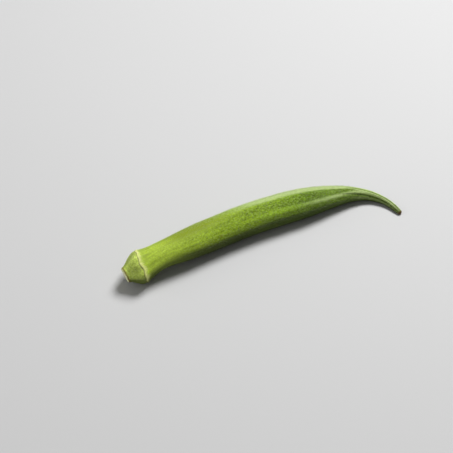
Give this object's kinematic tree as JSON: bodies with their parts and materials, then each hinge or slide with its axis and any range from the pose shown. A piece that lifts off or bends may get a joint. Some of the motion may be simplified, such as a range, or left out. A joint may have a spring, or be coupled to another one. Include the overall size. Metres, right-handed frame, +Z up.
{
  "type": "okra pod",
  "caption": "Fresh okra pod as picked, lying on its side: arched ribbed seed pod with a hooked blunt tip and a flared collar, on its five-sided stem cap with the stalk cut through.",
  "frame": {"origin": "on the surface that the pod lies on, under the middle of its box", "axes": "+X from the cut stalk to the tip, +Y towards the outside of the arch, +Z up from the surface"},
  "size_m": [0.1332, 0.0282, 0.015],
  "materials": {
    "pod_skin": "fresh green plant skin, satin under a fine short down",
    "cap_skin": "matte green plant skin, finely wrinkled, with a pale cut stalk"
  },
  "bodies": {
    "root": {"pod": "pod_skin", "stem_cap": "cap_skin"}
  },
  "joints": []
}
